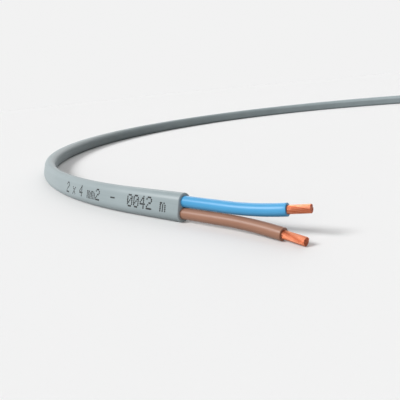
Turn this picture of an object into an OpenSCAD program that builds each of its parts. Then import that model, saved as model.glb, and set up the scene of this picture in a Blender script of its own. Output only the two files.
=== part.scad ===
// Flat two-core flexible power cable, stripped at one end and cut square at the other.
// A grey sheath holds a blue and a brown core one above the other. The cable stands on its
// narrow edge in one open sweep and leans to the inner side, and its two bared cores splay apart
// and end in loose strands.
// X points out of the stripped end, Z is up, and the cable stands on the XY plane.

/* [Conductors] */
// Diameter of one copper strand
strand_d = 0.3; // [0.2:0.01:0.35]
// Layers of strands, with 5 strands in the innermost and 6 more in each next one
strand_layers = 4; // [2:1:4]
// Play between neighbouring strands
strand_play = 0.006; // [0.002:0.001:0.02]
// Length in which a strand goes once round its conductor
lay_length = 36; // [24:1:60]
// Play between a conductor and the bore of its insulation
conductor_play = 0.02; // [0.01:0.01:0.05]

/* [Cores] */
// Thickness of the insulation
insulation_wall = 0.65; // [0.4:0.05:1]
// Play around each core inside the sheath
core_play = 0.05; // [0.02:0.01:0.1]

/* [Sheath] */
// Thickness of the sheath over the cores
sheath_wall = 0.95; // [0.6:0.05:1.5]
// Straight length of sheath behind the stripped end
front_run = 25; // [10:1:60]
// Radius of the quarter turn after the front run, to the middle of the cable
near_bend = 220; // [150:5:300]
// Radius of the last bend, to the middle of the cable
far_bend = 255; // [150:5:300]
// Angle of the last bend, up to the square cut
far_turn = 78; // [20:1:120]
// Angle of the last bend in which the strands show at the cut
cut_turn = 0.1; // [0.05:0.05:0.3]

/* [Blue core, stripped end] */
// Straight length out of the sheath
blue_lead = 18.5; // [5:0.5:25]
// Radius of the bend, up and towards the inner side of the cable
blue_bend = 105; // [40:5:200]
// Angle of the bend
blue_turn = 11; // [2:0.5:20]
// Length of bare strands
blue_bare = 7; // [4:0.5:12]

/* [Brown core, stripped end] */
// Straight length out of the sheath
brown_lead = 17; // [5:0.5:25]
// Radius of the bend, down and towards the outer side of the cable
brown_bend = 150; // [40:5:200]
// Angle of the bend
brown_turn = 8.5; // [2:0.5:10]
// Length of bare strands
brown_bare = 7.5; // [4:0.5:12]

/* [Hidden] */

// Fineness of round shapes, of a loose strand's section and twist, and of the plan's outline
$fn = 128;
strand_sides = 8;
twist_step = 20;
outline_step = 1;

// Layers of strands, counted from the middle
inner_strands = 5;
strands_per_layer = 6;
strand_pitch = strand_d + strand_play;
function strands_in(layer) = inner_strands + strands_per_layer * layer;
function layer_r(layer) = strand_pitch * (layer + 0.5 / sin(180 / inner_strands));

// Sizes across the cable, from the strands outwards
conductor_d = 2 * layer_r(strand_layers - 1) + strand_pitch;
bore_d = conductor_d + 2 * conductor_play;
core_d = bore_d + 2 * insulation_wall;
core_pitch = core_d + core_play;
channel_d = core_d + 2 * core_play;
sheath_t = channel_d + 2 * sheath_wall;

// The cable leans to the inner side of its bends, 7 across for every 24 up, with its middle at
// this height and its outer side this far from its middle in plan
cable_lean = atan2(7, 24);
middle_z = (sheath_t + core_pitch * cos(cable_lean)) / 2;
sheath_reach = (sheath_t + core_pitch * sin(cable_lean)) / 2;

// The cores splay in a plane that rises 3 for every 4 across
core_lean = atan2(3, 4);

// Each core's stripped end: its lead, bend, turn, bare length and place above the cable's middle,
// and the bend's side, 1 up and towards the inner side of the cable, -1 down and towards its outer
// side
blue_end = [blue_lead, blue_bend, blue_turn, blue_bare, core_pitch / 2, 1];
brown_end = [brown_lead, brown_bend, brown_turn, brown_bare, -core_pitch / 2, -1];

// Middles of the two bends in plan, from the stripped end, and the direction of the cut. The
// quarter turn goes from 270 to 180 degrees, where the two bends join.
near_centre = [-front_run, near_bend];
far_centre = near_centre + [far_bend - near_bend, 0];
cut_side = 180 - far_turn;

// The plan's outline and its middle, where the origin goes
function around(centre, r, side) = centre + r * [cos(side), sin(side)];
function tip_in_plan(end) = [
    end[0] + end[1] * sin(end[2]) + end[3] * cos(end[2]),
    end[4] * sin(cable_lean)
        + end[5] * (end[1] * (1 - cos(end[2])) + end[3] * sin(end[2])) * cos(core_lean)];
function tip_reach(end) = conductor_d / 2 * [
    sin(end[2]),
    sqrt(1 - (sin(end[2]) * cos(core_lean)) ^ 2)];
outline = [
    for (edge = [-sheath_reach, sheath_reach]) each [
        for (side = [180 : outline_step : 270])
            around(near_centre, near_bend + edge, side),
        for (side = [cut_side : outline_step : 180])
            around(far_centre, far_bend + edge, side)],
    for (end = [blue_end, brown_end], way = [-1, 1])
        tip_in_plan(end) + way * tip_reach(end)];
plan_x = [for (p = outline) p.x];
plan_y = [for (p = outline) p.y];
plan_middle = [min(plan_x) + max(plan_x), min(plan_y) + max(plan_y)] / 2;

// A section along one bend of the cable, drawn with x away from the bend's middle and y up
module bend(centre, r, from, to)
    translate(centre)
        rotate_extrude(start = from, angle = to - from)
            translate([r, 0])
                children();

// A section across the leaning cable, drawn around the cable's middle
module across_cable()
    translate([0, middle_z])
        rotate(cable_lean)
            children();

// A section along the cable, from a length out of the stripped end to a direction on the last bend
module along_cable(out = 0, last_side = cut_side) {
    translate([out, 0, 0])
        rotate([90, 0, -90])
            linear_extrude(front_run + out)
                across_cable()
                    children();
    bend(near_centre, near_bend, 180, 270)
        across_cable()
            children();
    bend(far_centre, far_bend, last_side, 180)
        across_cable()
            children();
}

// The plane in which a core's end bends, from the end of its lead
module splayed(end)
    translate([end[0], 0, middle_z])
        rotate([-cable_lean, 0, 0])
            translate([0, 0, end[4]])
                rotate([cable_lean + core_lean, 0, 0])
                    children();

// A round section along a core, out to the end of its own bend
module along_core(end, last_side = cut_side) {
    along_cable(end[0], last_side)
        translate([0, end[4]])
            children();
    splayed(end)
        bend([0, end[5] * end[1]], end[1], -end[5] * 90, -end[5] * (90 - end[2]))
            children();
}

// The strands of a conductor in section
module strand_section(sides)
    for (layer = [0 : strand_layers - 1], i = [1 : strands_in(layer)])
        rotate(360 * i / strands_in(layer))
            translate([layer_r(layer), 0])
                circle(d = strand_d, $fn = sides);

// A round shape about each core in section
module about_cores(d)
    for (end = [blue_end, brown_end])
        translate([0, end[4]])
            circle(d = d);

// The sheath's outside in section, two flat sides between two round edges
module sheath_outline() {
    square([sheath_t, core_pitch], center = true);
    about_cores(sheath_t);
}

module insulation(end)
    along_core(end)
        difference() {
            circle(d = core_d);
            circle(d = bore_d);
        }

// A conductor's run inside its insulation, which ends in single strands at the cut
module conductor(end) {
    along_core(end, cut_side + cut_turn)
        circle(d = conductor_d);
    bend(far_centre, far_bend, cut_side, cut_side + cut_turn)
        across_cable()
            translate([0, end[4]])
                strand_section($fn);
}

// The loose strands past the insulation, which twist to the right and meet the conductor's run
module strands(end) {
    length = end[3] - strand_play;
    twist = 360 * length / lay_length;
    splayed(end)
        translate([0, end[5] * end[1], 0])
            rotate(end[5] * end[2])
                translate([strand_play, -end[5] * end[1], 0])
                    rotate([90, 0, 90])
                        linear_extrude(length, twist = -twist, slices = ceil(twist / twist_step),
                                       segments = strand_sides)
                            strand_section(strand_sides);
}

module outer_sheath() color("#a0acb2") translate(-plan_middle)
    along_cable()
        difference() {
            sheath_outline();
            about_cores(channel_d);
        }

module blue_insulation() color("#509bcd") translate(-plan_middle) insulation(blue_end);

module brown_insulation() color("#aa8573") translate(-plan_middle) insulation(brown_end);

module blue_conductor() color("#e08e6f") translate(-plan_middle) conductor(blue_end);

module brown_conductor() color("#e08e6f") translate(-plan_middle) conductor(brown_end);

module blue_strands() color("#e08e6f") translate(-plan_middle) strands(blue_end);

module brown_strands() color("#e08e6f") translate(-plan_middle) strands(brown_end);

outer_sheath();
blue_insulation();
brown_insulation();
blue_conductor();
brown_conductor();
blue_strands();
brown_strands();
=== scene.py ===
import math
import random

import bmesh
import bpy
from mathutils import Matrix, Vector


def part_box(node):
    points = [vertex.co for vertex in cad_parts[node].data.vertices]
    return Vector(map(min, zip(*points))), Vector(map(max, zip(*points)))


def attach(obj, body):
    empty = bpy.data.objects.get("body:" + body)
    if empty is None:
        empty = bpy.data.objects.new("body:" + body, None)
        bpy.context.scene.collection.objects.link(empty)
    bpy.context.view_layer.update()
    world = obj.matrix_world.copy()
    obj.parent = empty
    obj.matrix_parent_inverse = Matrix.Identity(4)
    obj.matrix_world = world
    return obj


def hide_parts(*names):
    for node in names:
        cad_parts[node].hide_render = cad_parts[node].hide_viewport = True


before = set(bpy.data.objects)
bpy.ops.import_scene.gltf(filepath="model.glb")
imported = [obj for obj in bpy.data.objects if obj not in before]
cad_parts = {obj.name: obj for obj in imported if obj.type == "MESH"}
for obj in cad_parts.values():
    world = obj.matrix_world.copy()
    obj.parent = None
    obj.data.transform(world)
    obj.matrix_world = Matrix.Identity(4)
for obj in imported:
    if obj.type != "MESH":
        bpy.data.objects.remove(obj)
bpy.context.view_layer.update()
print("frame loaded, nodes:", ", ".join(sorted(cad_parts)))

mm = 0.001
up = Vector((0, 0, 1))

# Lay of the cable
lay = {
    "frontRun": 25 * mm,  # straight behind the stripped cut
    "nearBend": 220 * mm,
    "nearTurn": math.radians(90),
    "farBend": 255 * mm,
    "farTurn": math.radians(78),
    "lean": math.atan2(7, 24),  # of the cable's width, to the inner side of the bends
    "stepTurn": math.radians(0.75),  # turn between two rings
}

# Section of the cable, from the strands outwards
section = {
    "strandThick": 0.3 * mm,
    "strandPlay": 0.006 * mm,
    "layers": (5, 11, 17, 23),  # strands in each layer
    "conductorPlay": 0.02 * mm,
    "insulationWall": 0.65 * mm,
    "corePlay": 0.05 * mm,
    "sheathWall": 0.95 * mm,
}
strandPitch = section["strandThick"] + section["strandPlay"]


def layerReach(layer):
    return strandPitch * (layer + 0.5 / math.sin(math.pi / section["layers"][0]))


conductorThick = 2 * layerReach(len(section["layers"]) - 1) + strandPitch
boreThick = conductorThick + 2 * section["conductorPlay"]
coreThick = boreThick + 2 * section["insulationWall"]
corePitch = coreThick + section["corePlay"]
channelThick = coreThick + 2 * section["corePlay"]
sheathThick = channelThick + 2 * section["sheathWall"]
sheathWide = corePitch + sheathThick
leanSine = math.sin(lay["lean"])
leanCosine = math.cos(lay["lean"])
midHeight = (sheathThick + corePitch * leanCosine) / 2
sheathReach = (sheathThick + corePitch * leanSine) / 2  # in plan, from the cable's middle

sheathLow, sheathHigh = (Vector(corner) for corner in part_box("outer_sheath"))
cutAt = Vector((sheathHigh.x, sheathLow.y + sheathReach, 0))  # under the middle of the stripped cut
nearCentre = cutAt + Vector((-lay["frontRun"], lay["nearBend"], 0))
farCentre = nearCentre + Vector((lay["farBend"] - lay["nearBend"], 0, 0))
nearLength = lay["nearBend"] * lay["nearTurn"]
farLength = lay["farBend"] * lay["farTurn"]
cableLength = lay["frontRun"] + nearLength + farLength


def laidAt(along, across, rise):  # across is out of the bends, rise is up the cable's width
    outwards = across * leanCosine - rise * leanSine
    height = midHeight + across * leanSine + rise * leanCosine
    if along <= lay["frontRun"]:
        return cutAt + Vector((-along, -outwards, height))
    if along <= lay["frontRun"] + nearLength:
        side = math.radians(270) - (along - lay["frontRun"]) / lay["nearBend"]
        centre, reach = nearCentre, lay["nearBend"]
    else:
        side = math.radians(180) - (along - lay["frontRun"] - nearLength) / lay["farBend"]
        centre, reach = farCentre, lay["farBend"]
    return centre + Vector((math.cos(side), math.sin(side), 0)) * (reach + outwards) + up * height


def straightened(point):  # the other way round: along, across and rise of a point
    if point.x >= nearCentre.x and point.y < nearCentre.y:
        along, outwards = cutAt.x - point.x, cutAt.y - point.y
    elif point.y < nearCentre.y:
        out = point - nearCentre
        side = math.atan2(-out.y, -out.x)
        along = lay["frontRun"] + (math.pi / 2 - side) * lay["nearBend"]
        outwards = out.xy.length - lay["nearBend"]
    else:
        out = point - farCentre
        along = lay["frontRun"] + nearLength + math.atan2(out.y, -out.x) * lay["farBend"]
        outwards = out.xy.length - lay["farBend"]
    height = point.z - midHeight
    across = outwards * leanCosine + height * leanSine
    return Vector((along, across, height * leanCosine - outwards * leanSine))


# Camera
eye = {
    "fromCut": Vector((98.457, -101.328, 44.225)) * mm,
    "turn": math.radians(41.905),
    "pitch": math.radians(14.767),
    "roll": math.radians(-5.661),
    "lens": 38.889,
    "sensor": 36,
    "nearest": 5 * mm,
}


def makeCamera():
    camera = bpy.data.objects.new("camera", bpy.data.cameras.new("camera"))
    camera.data.lens = eye["lens"]
    camera.data.sensor_width = eye["sensor"]
    camera.data.clip_start = eye["nearest"]
    camera.matrix_world = (
        Matrix.Translation(cutAt + eye["fromCut"])
        @ Matrix.Rotation(eye["turn"], 4, "Z")
        @ Matrix.Rotation(math.pi / 2 - eye["pitch"], 4, "X")
        @ Matrix.Rotation(eye["roll"], 4, "Z")
    )
    bpy.context.scene.collection.objects.link(camera)
    bpy.context.scene.camera = camera


makeCamera()
print("camera set")


# Shader wiring: a socket that does maths, and one way to add a node
class Wire:
    def __init__(self, finish, socket):
        self.finish = finish
        self.socket = socket

    def maths(self, operation, first, second):
        return self.finish.node("Math", {"operation": operation}, {0: first, 1: second})

    def __add__(self, other):
        return self.maths("ADD", self, other)

    def __radd__(self, other):
        return self.maths("ADD", other, self)

    def __sub__(self, other):
        return self.maths("SUBTRACT", self, other)

    def __rsub__(self, other):
        return self.maths("SUBTRACT", other, self)

    def __mul__(self, other):
        return self.maths("MULTIPLY", self, other)

    def __rmul__(self, other):
        return self.maths("MULTIPLY", other, self)


class Finish:
    def __init__(self, name, owner=None):
        self.owner = owner or bpy.data.materials.new(name)
        self.owner.use_nodes = True
        self.tree = self.owner.node_tree
        self.tree.nodes.clear()

    def node(self, kind, settings, sockets, output=0):
        made = self.tree.nodes.new("ShaderNode" + kind)
        for name, value in settings.items():
            setattr(made, name, value)
        for name, value in sockets.items():
            if isinstance(value, Wire):
                self.tree.links.new(value.socket, made.inputs[name])
            else:
                made.inputs[name].default_value = value
        if made.outputs:
            return Wire(self, made.outputs[output])

    def noise(self, vector, scale, detail):
        return self.node("TexNoise", {}, {"Vector": vector, "Scale": scale, "Detail": detail}, "Fac")

    def stretched(self, vector, scale):
        return self.node("Mapping", {}, {"Vector": vector, "Scale": scale})

    def blend(self, factor, first, second):
        return self.node("Mix", {"data_type": "RGBA"}, {0: factor, 6: (*first, 1), 7: (*second, 1)}, 2)

    def spread(self, factor, ends):  # from 0 at the first end to 1 at the second
        return self.node("MapRange", {}, {0: factor, 1: ends[0], 2: ends[1]})

    def bumped(self, height):  # a height of 1 stands for 1 mm
        return self.node("Bump", {}, {"Height": height, "Distance": 1 * mm})

    def shownRays(self):  # what the camera sees, straight or in a reflection
        cameraRay = self.node("LightPath", {}, {}, "Is Camera Ray")
        glossyRay = self.node("LightPath", {}, {}, "Is Glossy Ray")
        return self.node("Math", {"operation": "MAXIMUM"}, {0: cameraRay, 1: glossyRay})

    def surface(self, sockets):
        shader = self.node("BsdfPrincipled", {}, sockets)
        self.node("OutputMaterial", {}, {"Surface": shader})
        return self.owner


# Finishes: each mixes its noises, which lie around noiseMiddle, from a shade to a light tone
noiseMiddle = 0.5
plasticMix = {
    "drawStretch": (0.012, 1, 1),  # draw lines run along the cable
    "cloudTone": 0.55, "drawnTone": 0.30, "grainTone": 0.15, "toneEnds": (0.35, 0.65),
    "cloudGloss": 0.6, "grainGloss": 0.4,
}
cutMix = {
    "scoreStretch": (1, 1, 0.08),  # knife marks run down the cut
    "scoreTone": 0.5, "speckTone": 0.5, "toneEnds": (0.3, 0.7),
    "roughSpread": 0.2,
}
copperMix = {
    "strandShare": 0.5, "stainShare": 0.5, "toneEnds": (0.25, 0.75),
    "stainRough": 0.16, "scratchRough": 0.08,
}
inkMix = {"toneEnds": (0.35, 0.65), "roughSpread": 0.2}


def extrudedPlastic(name, look):
    mix = plasticMix
    finish = Finish(name)
    laid = finish.node("Attribute", {"attribute_name": "straight"}, {}, "Vector")
    drawn = finish.noise(finish.stretched(laid, mix["drawStretch"]), look["drawLines"], 2)
    cloud = finish.noise(laid, look["clouds"], 3)
    grain = finish.noise(laid, look["grain"], 2)
    tone = mix["cloudTone"] * cloud + mix["drawnTone"] * drawn + mix["grainTone"] * grain
    gloss = mix["cloudGloss"] * cloud + mix["grainGloss"] * grain - noiseMiddle
    return finish.surface({
        "Base Color": finish.blend(finish.spread(tone, mix["toneEnds"]), look["shade"], look["light"]),
        "Roughness": look["roughness"] + look["roughSpread"] * gloss,
        "IOR": look["ior"],
        "Normal": finish.bumped(look["drawDepth"] * drawn + look["grainDepth"] * grain),
    })


def cutPlastic(name, look):
    mix = cutMix
    finish = Finish(name)
    place = finish.node("TexCoord", {}, {}, "Object")
    score = finish.noise(finish.stretched(place, mix["scoreStretch"]), look["score"], 3)
    speck = finish.noise(place, look["speck"], 2)
    tone = finish.spread(mix["scoreTone"] * score + mix["speckTone"] * speck, mix["toneEnds"])
    return finish.surface({
        "Base Color": finish.blend(tone, look["shade"], look["light"]),
        "Roughness": look["roughness"] + mix["roughSpread"] * (speck - noiseMiddle),
        "Normal": finish.bumped(look["depth"] * score),
    })


def drawnCopper(name, look):
    mix = copperMix
    finish = Finish(name)
    place = finish.node("TexCoord", {}, {}, "Object")
    strand = finish.node("Attribute", {"attribute_name": "strandTone"}, {}, "Fac")
    stain = finish.noise(place, look["stains"], 3)
    scratch = finish.noise(place, look["scratches"], 2)
    tone = finish.spread(mix["strandShare"] * strand + mix["stainShare"] * stain, mix["toneEnds"])
    stained = mix["stainRough"] * (stain - noiseMiddle)
    scratched = mix["scratchRough"] * (scratch - noiseMiddle)
    return finish.surface({
        "Base Color": finish.blend(tone, look["shade"], look["light"]),
        "Metallic": 1.0,
        "Roughness": look["roughness"] + stained + scratched,
        "Normal": finish.bumped(look["depth"] * scratch),
    })


def inkPrint(name, look):
    finish = Finish(name)
    place = finish.node("TexCoord", {}, {}, "Object")
    soak = finish.noise(place, look["soak"], 2)
    tone = finish.spread(soak, inkMix["toneEnds"])
    return finish.surface({
        "Base Color": finish.blend(tone, look["shade"], look["light"]),
        "Roughness": look["roughness"] + inkMix["roughSpread"] * (soak - noiseMiddle),
    })


# Shared modelling steps
meshing = {
    "weldReach": 0.001 * mm,
    "rimSteps": 3,  # across a rounded edge
    "smoothBelow": math.radians(40),
}


def partsOf(geometry, kind):
    return [part for part in geometry if isinstance(part, kind)]


def edgesOf(faces):
    return list(dict.fromkeys(e for f in faces for e in f.edges))


def extrudeFaces(bm, faces, way):  # with the edges, so that no wall stays inside where two sweeps join
    made = bmesh.ops.extrude_face_region(bm, geom=faces + edgesOf(faces))["geom"]
    bmesh.ops.translate(bm, verts=partsOf(made, bmesh.types.BMVert), vec=way)
    return partsOf(made, bmesh.types.BMFace)


def spinFaces(bm, faces, centre, angle, steps, axis=up):
    made = bmesh.ops.spin(bm, geom=faces + edgesOf(faces), cent=centre, axis=axis, angle=angle, steps=steps)
    return partsOf(made["geom_last"], bmesh.types.BMFace)


def alongCable(bm, faces, lead):  # sweeps a section from the lead in front of the cut to the far cut
    faces = extrudeFaces(bm, faces, Vector((-lead - lay["frontRun"], 0, 0)))
    faces = spinFaces(bm, faces, nearCentre, -lay["nearTurn"], round(lay["nearTurn"] / lay["stepTurn"]))
    return spinFaces(bm, faces, farCentre, -lay["farTurn"], round(lay["farTurn"] / lay["stepTurn"]))


def wallAt(bm, centre, inner, outer):  # a wall's thickness as one edge, to be spun round the centre
    return bm.edges.new([bm.verts.new(centre + up * reach) for reach in (inner, outer)])


def spinWall(bm, wall, centre, angle, steps, full=False):
    made = bmesh.ops.spin(bm, geom=[*wall.verts, wall], cent=centre, axis=(1, 0, 0), angle=angle,
                          steps=steps, use_merge=full)
    return partsOf(made["geom_last"], bmesh.types.BMEdge)


def roundRim(bm, edges, offset):
    bmesh.ops.bevel(bm, geom=edges, offset=offset, offset_type="OFFSET", affect="EDGES",
                    segments=meshing["rimSteps"], profile=0.5, material=-1)


def finishMesh(bm, name, materials, smoothBelow=meshing["smoothBelow"]):
    bmesh.ops.recalc_face_normals(bm, faces=bm.faces)
    for face in bm.faces:
        face.smooth = True
    for edge in bm.edges:
        if len(edge.link_faces) == 2 and edge.calc_face_angle() > smoothBelow:
            edge.smooth = False
    mesh = bpy.data.meshes.new(name)
    bm.to_mesh(mesh)
    bm.free()
    for material in materials:
        mesh.materials.append(material)
    piece = bpy.data.objects.new(name, mesh)
    bpy.context.scene.collection.objects.link(piece)
    return piece


def storeStraight(piece):  # the cable's own coordinates, so that a pattern follows the lay
    stored = piece.data.attributes.new("straight", "FLOAT_VECTOR", "POINT")
    for vertex, value in zip(piece.data.vertices, stored.data):
        value.vector = straightened(vertex.co)


# Grey sheath
sheath = {
    "arcSteps": 14,  # in a quarter of a round edge
    "sideSteps": 7,  # from a round edge to the middle of a flat side
    "edgeRound": 0.3 * mm,
    "look": {
        "shade": (0.285, 0.340, 0.354), "light": (0.335, 0.392, 0.406),
        "drawLines": 2200, "clouds": 55, "grain": 5200,
        "roughness": 0.44, "roughSpread": 0.22, "ior": 1.46,
        "drawDepth": 0.012, "grainDepth": 0.006,
    },
    # the cut faces are the sheath's own grey PVC, rougher and scored, and painted lighter as painted light
    # on the shaded cut rim
    "cutLook": {
        "shade": (0.30, 0.35, 0.365), "light": (0.42, 0.475, 0.49),
        "score": 1800, "speck": 5000, "roughness": 0.62, "depth": 0.03,
    },
}
sheathMidWall = (sheathThick + channelThick) / 4  # reach of the middle of the wall from a core's middle


def outside(point):  # true on the sheath's outside, and not in its channels
    place = straightened(point)
    beyond = max(abs(place.z) - corePitch / 2, 0)
    return math.hypot(place.y, beyond) > sheathMidWall


def sheathSection(bm):  # the half around the blue core, and the same half turned over for the brown
    middle = cutAt + up * midHeight
    centre = middle + up * corePitch / 2
    sideTurn = math.pi / 2 - math.acos(corePitch / channelThick)  # down to where the channels meet
    wall = wallAt(bm, centre, channelThick / 2, sheathThick / 2)
    for way in (-1, 1):
        side = spinWall(bm, wall, centre, way * math.pi / 2, sheath["arcSteps"])[0]
        spinWall(bm, side, centre, way * sideTurn, sheath["sideSteps"])
    for vert in bm.verts:
        out = vert.co - centre
        share = math.atan2(-out.z, abs(out.y)) / sideTurn
        if share > 0 and out.length > sheathMidWall:
            flat = Vector((0, math.copysign(sheathThick / 2, out.y), -share * corePitch / 2))
            vert.co = centre + flat
    half = [*bm.verts, *bm.edges, *bm.faces]
    other = partsOf(bmesh.ops.duplicate(bm, geom=half)["geom"], bmesh.types.BMVert)
    bmesh.ops.rotate(bm, verts=other, cent=middle, matrix=Matrix.Rotation(math.pi, 3, "X"))
    bmesh.ops.remove_doubles(bm, verts=bm.verts, dist=meshing["weldReach"])
    bmesh.ops.rotate(bm, verts=bm.verts, cent=middle, matrix=Matrix.Rotation(-lay["lean"], 3, "X"))
    return list(bm.faces)


def makeSheath():
    bm = bmesh.new()
    front = sheathSection(bm)
    cuts = front + alongCable(bm, front, 0)
    # the cut ends take the cut finish, which is painted light on the rim
    for face in cuts:
        face.material_index = 1
    rim = [e for e in edgesOf(cuts) if all(outside(v.co) for v in e.verts)]
    roundRim(bm, rim, sheath["edgeRound"])
    piece = finishMesh(bm, "sheath", [extrudedPlastic("greySheath", sheath["look"]),
                                      cutPlastic("cutSheathPaintedLight", sheath["cutLook"])])
    storeStraight(piece)
    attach(piece, "root")
    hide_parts("outer_sheath")
    return piece


sheathPiece = makeSheath()
print("sheath made")


# The two cores: each runs the length of the cable and splays at the stripped end
blueCore = {
    "name": "blue", "rise": corePitch / 2, "lead": 18.5 * mm, "bend": 105 * mm,
    "turn": math.radians(11), "side": 1, "bare": 7 * mm,
    "look": {
        "shade": (0.056, 0.315, 0.59), "light": (0.080, 0.370, 0.67),
        "drawLines": 2600, "clouds": 70, "grain": 6500,
        "roughness": 0.37, "roughSpread": 0.16, "ior": 1.45,
        "drawDepth": 0.008, "grainDepth": 0.003,
    },
}
brownCore = {
    "name": "brown", "rise": -corePitch / 2, "lead": 17 * mm, "bend": 150 * mm,
    "turn": math.radians(8.5), "side": -1, "bare": 7.5 * mm,
    "look": {
        "shade": (0.292, 0.139, 0.088), "light": (0.345, 0.176, 0.115),
        "drawLines": 2600, "clouds": 70, "grain": 6500,
        "roughness": 0.39, "roughSpread": 0.16, "ior": 1.45,
        "drawDepth": 0.008, "grainDepth": 0.003,
    },
}
coreBuild = {
    "lean": math.atan2(3, 4),  # rise of the planes in which the ends splay
    "sides": 40,
    "bendSteps": 16,
    "edgeRound": 0.12 * mm,
}
splayAcross = Vector((0, math.cos(coreBuild["lean"]), math.sin(coreBuild["lean"])))
splayAxis = Vector((0, -math.sin(coreBuild["lean"]), math.cos(coreBuild["lean"])))


def bendOf(core):  # where the bend of a core's end starts, and its centre
    start = laidAt(-core["lead"], 0, core["rise"])
    return start, start + splayAcross * core["side"] * core["bend"]


def endOf(core):  # the plane where the insulation ends: its middle and the way out of it
    start, centre = bendOf(core)
    turned = Matrix.Rotation(core["side"] * core["turn"], 4, splayAxis)
    return centre + turned @ (start - centre), turned @ Vector((1, 0, 0))


def makeInsulation(core):
    bm = bmesh.new()
    start, centre = bendOf(core)
    wall = wallAt(bm, start, boreThick / 2, coreThick / 2)
    spinWall(bm, wall, start, 2 * math.pi, coreBuild["sides"], full=True)
    midWall = (coreThick + boreThick) / 4
    rim = [e for e in bm.edges if all((v.co - start).length > midWall for v in e.verts)]
    bend = core["side"] * core["turn"]
    bmesh.ops.rotate(bm, verts=bm.verts, cent=centre, matrix=Matrix.Rotation(bend, 3, splayAxis))
    faces = spinFaces(bm, list(bm.faces), centre, -bend, coreBuild["bendSteps"], splayAxis)
    alongCable(bm, faces, core["lead"])
    roundRim(bm, rim, coreBuild["edgeRound"])
    piece = finishMesh(bm, core["name"] + "Insulation",
                       [extrudedPlastic(core["name"] + "Plastic", core["look"])])
    storeStraight(piece)
    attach(piece, "root")
    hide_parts(core["name"] + "_insulation")
    core["name"] + "_insulation"
    return piece


# Bare strands
strands = {
    "layLength": 36 * mm,  # once round the conductor
    "sides": 10,
    "steps": 16,
    "lengthSpread": 0.16 * mm,
    "smoothBelow": math.radians(50),
    "look": {
        "shade": (0.40, 0.110, 0.050), "light": (0.64, 0.265, 0.155),
        "stains": 420, "scratches": 6000, "roughness": 0.36, "depth": 0.01,
    },
    # the strand ends are the same copper, rougher with deeper marks, and painted darker and redder as
    # painted shade on the end faces
    "cutLook": {
        "shade": (0.40, 0.10, 0.05), "light": (0.58, 0.18, 0.09),
        "stains": 2400, "scratches": 9000, "roughness": 0.46, "depth": 0.03,
    },
}
copper = drawnCopper("drawnCopper", strands["look"])
cutCopperPaintedShade = drawnCopper("cutCopperPaintedShade", strands["cutLook"])


def makeStrands(core):
    chance = random.Random(core["name"])
    bm = bmesh.new()
    end, way = endOf(core)
    turned = Matrix.Translation(end) @ way.to_track_quat("Z", "Y").to_matrix().to_4x4()
    tones = bm.verts.layers.float.new("strandTone")
    for layer, count in enumerate(section["layers"]):
        aside = Matrix.Translation((layerReach(layer), 0, 0))
        for number in range(count):
            spot = Matrix.Rotation(2 * math.pi * number / count, 4, "Z") @ aside
            verts = bmesh.ops.create_circle(bm, cap_ends=True, segments=strands["sides"],
                                            radius=section["strandThick"] / 2, matrix=turned @ spot)["verts"]
            tone = chance.random()
            for vert in verts:
                vert[tones] = tone
            length = core["bare"] - strands["lengthSpread"] * chance.random()
            startFace = list({f for v in verts for f in v.link_faces})
            made = bmesh.ops.spin(bm, geom=startFace, cent=end, axis=way, steps=strands["steps"],
                                  angle=2 * math.pi * length / strands["layLength"],
                                  dvec=way * length / strands["steps"])
            # the strand ends take the cut copper, which is painted shade
            for face in partsOf(made["geom_last"], bmesh.types.BMFace):
                face.material_index = 1
    piece = finishMesh(bm, core["name"] + "Strands", [copper, cutCopperPaintedShade], strands["smoothBelow"])
    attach(piece, "root")
    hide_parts(core["name"] + "_strands")
    return piece


# Ink marks on the sheath's outer side: plain figures of size and length
marks = {
    "words": "2 x 4 mm2  -  0042 m",
    "fromCut": 5 * mm,  # the last figure's end
    "dotStep": 0.58 * mm,
    "rowStep": 0.68 * mm,
    "dotThick": 0.74 * mm,
    "dotSides": 10,
    "dotProud": 0.012 * mm,
    "dotSink": 0.04 * mm,  # into the sheath, so that no dot stands off where its side turns round
    "jog": 0.04,  # of a dot from its place, in steps
    "thickSpread": (0.88, 1.06),
    "proudSpread": (0.7, 1.3),
    "dotsPerFigure": 6,  # five dots and a space
    "middleRow": 3,
    "figures": {
        "0": ("01110", "10001", "10011", "10101", "11001", "10001", "01110"),
        "2": ("01110", "10001", "00001", "00110", "01000", "10000", "11111"),
        "4": ("00010", "00110", "01010", "10010", "11111", "00010", "00010"),
        "m": ("00000", "00000", "11010", "10101", "10101", "10101", "10101"),
        "x": ("00000", "00000", "10001", "01010", "00100", "01010", "10001"),
        "-": ("00000", "00000", "00000", "11111", "00000", "00000", "00000"),
    },
    "look": {
        "shade": (0.005, 0.006, 0.007), "light": (0.018, 0.021, 0.023),
        "soak": 2500, "roughness": 0.6,
    },
}


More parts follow.
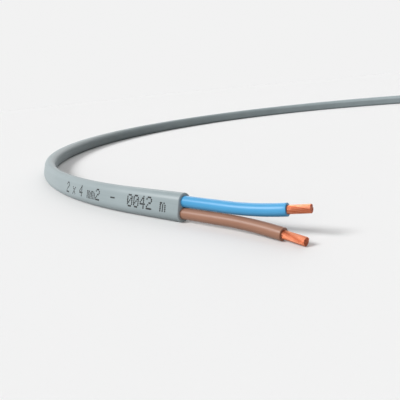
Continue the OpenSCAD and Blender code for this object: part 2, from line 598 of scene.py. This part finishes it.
def makeMarks():
    chance = random.Random("marks")
    bm = bmesh.new()
    step = marks["dotStep"]
    jog = marks["jog"] * step
    length = len(marks["words"]) * marks["dotsPerFigure"] * step
    for place, figure in enumerate(marks["words"]):
        for row, dots in enumerate(marks["figures"].get(figure, ())):
            for column, dot in enumerate(dots):
                if dot == "0":
                    continue
                along = marks["fromCut"] + length - (place * marks["dotsPerFigure"] + column) * step
                rise = (marks["middleRow"] - row) * marks["rowStep"] + chance.uniform(-jog, jog)
                jogged = along + chance.uniform(-jog, jog)
                spot = laidAt(jogged, sheathThick / 2 - marks["dotSink"], rise)
                outwards = laidAt(along, sheathThick, rise) - laidAt(along, 0, rise)
                turned = Matrix.Translation(spot) @ outwards.to_track_quat("Z", "Y").to_matrix().to_4x4()
                reach = marks["dotThick"] / 2 * chance.uniform(*marks["thickSpread"])
                proud = marks["dotProud"] * chance.uniform(*marks["proudSpread"])
                bmesh.ops.create_cone(bm, cap_ends=True, segments=marks["dotSides"], radius1=reach,
                                      radius2=reach, depth=2 * (marks["dotSink"] + proud), matrix=turned)
    piece = finishMesh(bm, "sizeMarks", [inkPrint("markInk", marks["look"])])
    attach(piece, "root")
    return piece


corePieces = [makeMarks()]
for core in (blueCore, brownCore):
    corePieces += [makeInsulation(core), makeStrands(core)]
    print(core["name"], "core made")

for name in ("blue_conductor", "brown_conductor"):
    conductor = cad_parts[name]
    conductor.data.materials.clear()
    conductor.data.materials.append(copper)

routeStep = 3 * mm
routeCount = round(cableLength / routeStep)
route = [laidAt(cableLength * step / routeCount, 0, 0) for step in range(routeCount + 1)]
print("cord declared, length", round(cableLength, 4))

# Floor, light and background
stage = {
    "floor": 6.0,
    "floorColour": 0.868,
    "floorBounce": 0.33,
    "fibres": 900,
    "fibreTone": (0.995, 1.005),
    "background": 0.887,
    "ambient": 0.23,
    "lamps": {  # where each one shines from, its strength and its spread
        "softKey": (Vector((-0.45, -0.62, 0.64)), 2.5, math.radians(24)),
        "softFill": (Vector((0.42, -0.86, 0.29)), 0.95, math.radians(36)),
        "softBack": (Vector((-0.30, 0.77, 0.56)), 1.1, math.radians(60)),
    },
}


def makeStage():
    bm = bmesh.new()
    bmesh.ops.create_grid(bm, x_segments=1, y_segments=1, size=stage["floor"] / 2)
    finish = Finish("floorPaper")
    seen = finish.shownRays()
    place = finish.node("TexCoord", {}, {}, "Object")
    low, high = stage["fibreTone"]
    fibre = low + (high - low) * finish.noise(place, stage["fibres"], 2)
    tone = (stage["floorBounce"] + (stage["floorColour"] - stage["floorBounce"]) * seen) * fibre
    colour = finish.node("CombineColor", {}, {0: tone, 1: tone, 2: tone})
    floor = finishMesh(bm, "floor", [finish.surface({"Base Color": colour, "Roughness": 0.9,
                                                     "Specular IOR Level": 0.0})])

    for name, (shinesFrom, strength, spread) in stage["lamps"].items():
        lamp = bpy.data.objects.new(name, bpy.data.lights.new(name, "SUN"))
        lamp.data.energy = strength
        lamp.data.angle = spread
        lamp.matrix_world = shinesFrom.to_track_quat("Z", "Y").to_matrix().to_4x4()
        bpy.context.scene.collection.objects.link(lamp)

    world = bpy.data.worlds.new("paleRoom")
    bpy.context.scene.world = world
    room = Finish("paleRoom", world)
    strength = stage["ambient"] + (stage["background"] - stage["ambient"]) * room.shownRays()
    room.node("OutputWorld", {}, {"Surface": room.node("Background", {}, {"Strength": strength,
                                                                         "Color": (1, 1, 1, 1)})})


makeStage()
bpy.context.scene.view_settings.view_transform = "Standard"
print("stage set")
